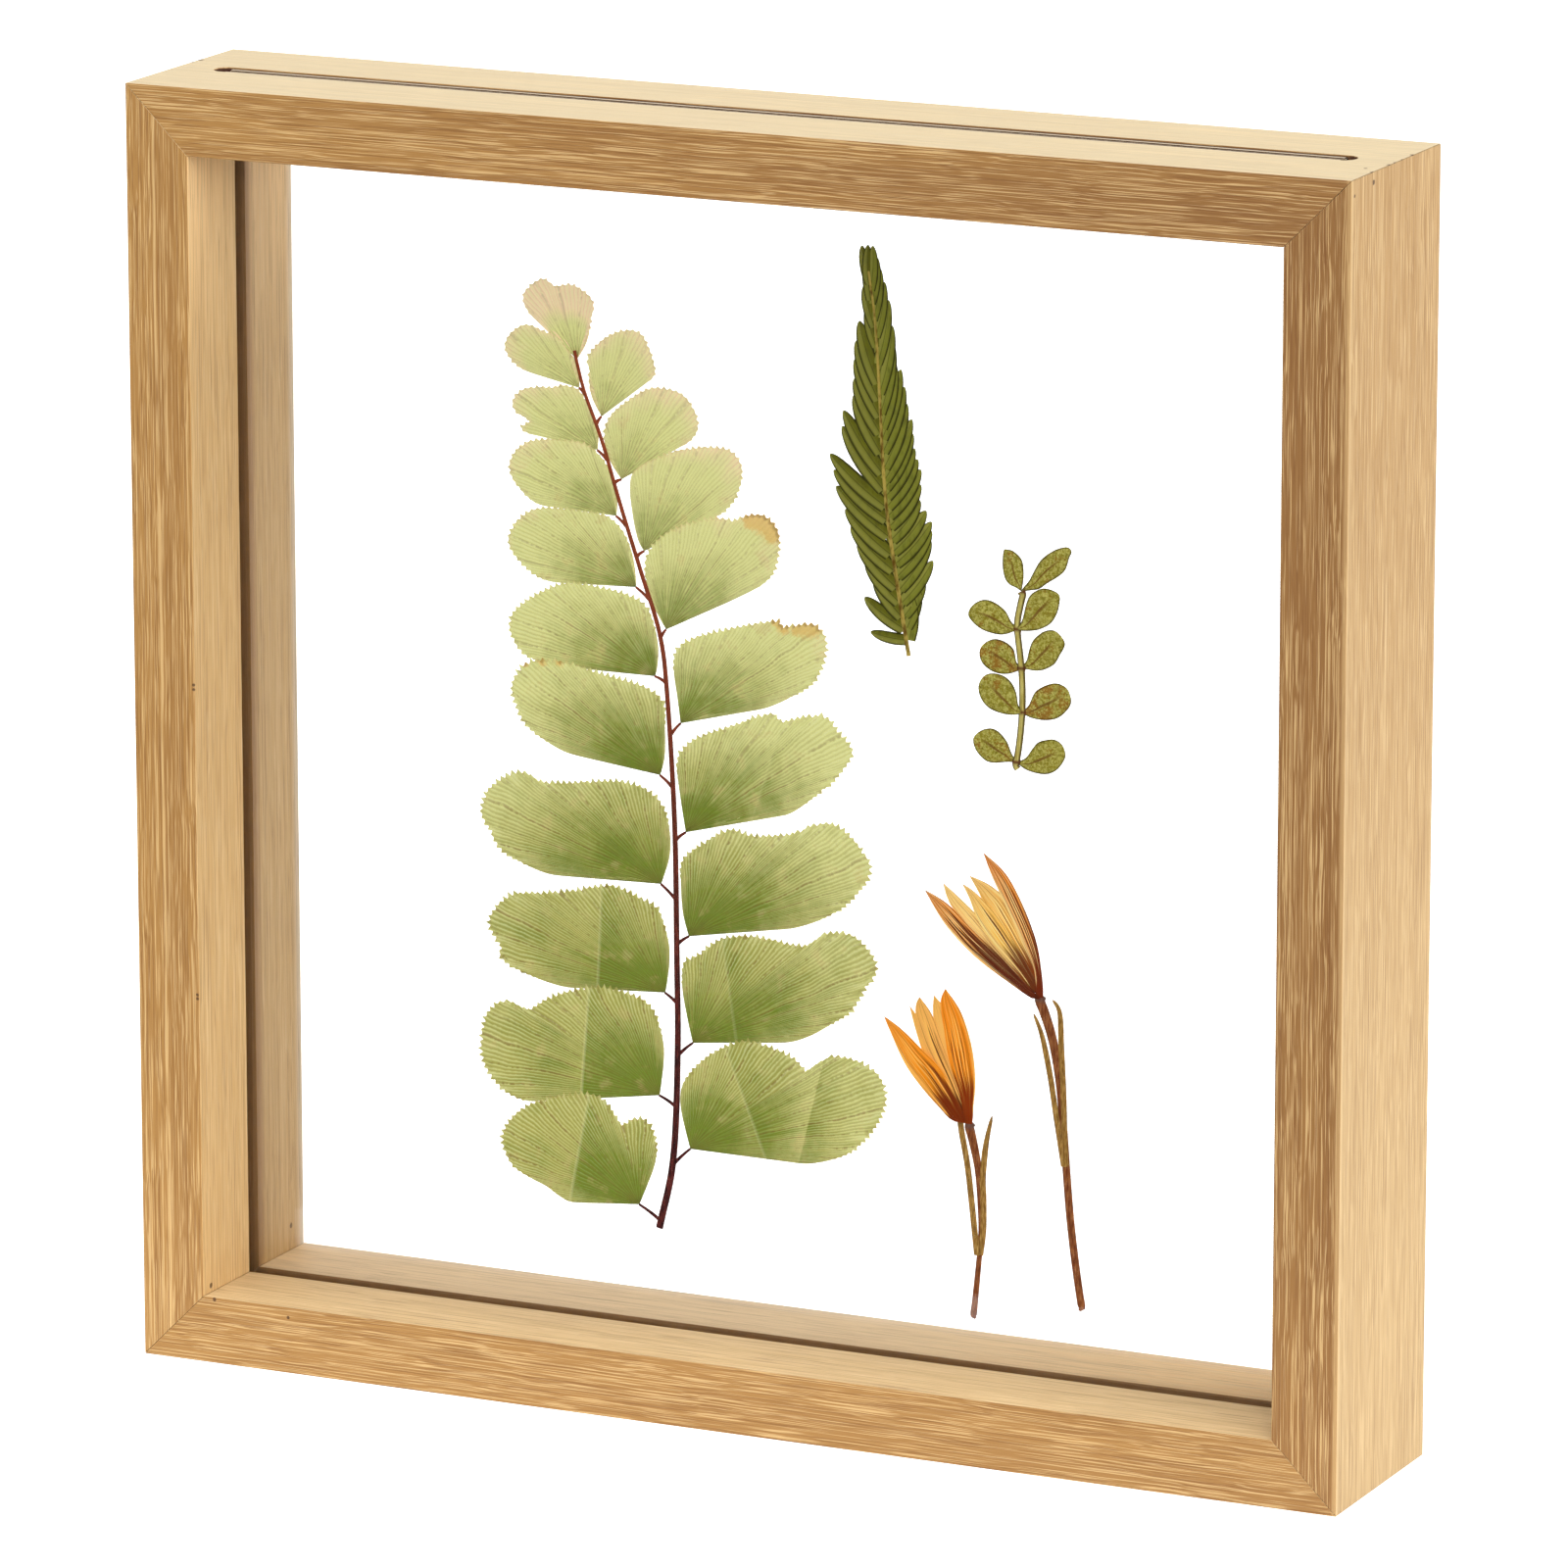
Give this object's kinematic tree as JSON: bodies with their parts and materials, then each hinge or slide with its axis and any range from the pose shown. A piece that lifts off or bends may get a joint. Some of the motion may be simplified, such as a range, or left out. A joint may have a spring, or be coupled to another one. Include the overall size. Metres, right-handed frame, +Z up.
{
  "type": "pressed flower frame",
  "caption": "Free-standing square wood frame with glass panes that hold a pressed fern frond, a feathery leaf, a leafy sprig and crocus-like flowers.",
  "frame": {"origin": "middle of the frame's underside, on the surface it stands on", "axes": "+Z up, +X to the right seen from the front, +Y to the back; the front looks along -Y"},
  "size_m": [0.2, 0.0344, 0.2],
  "materials": {
    "frame_wood": "fine straight-grained pale oak, planed and lightly oiled, satin",
    "pane_glass": "clear float glass with cut edges",
    "fern_stem": "dried wiry stem, smooth dark red-brown",
    "fern_leaf": "dried leaf, thin and papery, pale green with fine fanned veins and tan margins",
    "feather_leaf": "dried leaf, dull olive green",
    "sprig_stem": "dried stem, ochre with dark brown joints",
    "sprig_leaf": "dried leaf, yellow-green with brown specks and a darker edge",
    "flower_stem": "dried stem, red-brown",
    "petal": "dried petal, translucent orange with dark brown lines towards its foot",
    "long_leaf": "dried narrow leaf, ochre"
  },
  "bodies": {
    "root": {"frame_bottom": "frame_wood", "frame_right": "frame_wood", "frame_top": "frame_wood", "frame_left": "frame_wood", "glass_front": "pane_glass", "glass_back": "pane_glass", "fern_stem": "fern_stem", "fern_leaf_left_1": "fern_leaf", "fern_leaf_left_2": "fern_leaf", "fern_leaf_left_3": "fern_leaf", "fern_leaf_left_4": "fern_leaf", "fern_leaf_left_5": "fern_leaf", "fern_leaf_left_6": "fern_leaf", "fern_leaf_left_7": "fern_leaf", "fern_leaf_left_8": "fern_leaf", "fern_leaf_left_9": "fern_leaf", "fern_leaf_left_10": "fern_leaf", "fern_leaf_right_1": "fern_leaf", "fern_leaf_right_2": "fern_leaf", "fern_leaf_right_3": "fern_leaf", "fern_leaf_right_4": "fern_leaf", "fern_leaf_right_5": "fern_leaf", "fern_leaf_right_6": "fern_leaf", "fern_leaf_right_7": "fern_leaf", "fern_leaf_right_8": "fern_leaf", "fern_leaf_right_9": "fern_leaf", "fern_leaf_tip": "fern_leaf", "feather_leaf": "feather_leaf", "sprig_stem": "sprig_stem", "sprig_leaf_left_1": "sprig_leaf", "sprig_leaf_right_1": "sprig_leaf", "sprig_leaf_left_2": "sprig_leaf", "sprig_leaf_right_2": "sprig_leaf", "sprig_leaf_left_3": "sprig_leaf", "sprig_leaf_right_3": "sprig_leaf", "sprig_leaf_left_4": "sprig_leaf", "sprig_leaf_right_4": "sprig_leaf", "sprig_leaf_left_5": "sprig_leaf", "sprig_leaf_right_5": "sprig_leaf", "tall_flower_stem": "flower_stem", "short_flower_stem": "flower_stem", "tall_flower_petal_outer_left": "petal", "tall_flower_petal_inner_left": "petal", "tall_flower_petal_middle": "petal", "tall_flower_petal_inner_right": "petal", "tall_flower_petal_outer_right": "petal", "short_flower_petal_outer_left": "petal", "short_flower_petal_inner_left": "petal", "short_flower_petal_middle": "petal", "short_flower_petal_inner_right": "petal", "short_flower_petal_outer_right": "petal", "tall_flower_leaf_left": "long_leaf", "tall_flower_leaf_right": "long_leaf", "short_flower_leaf_left": "long_leaf", "short_flower_leaf_right": "long_leaf"}
  },
  "joints": []
}
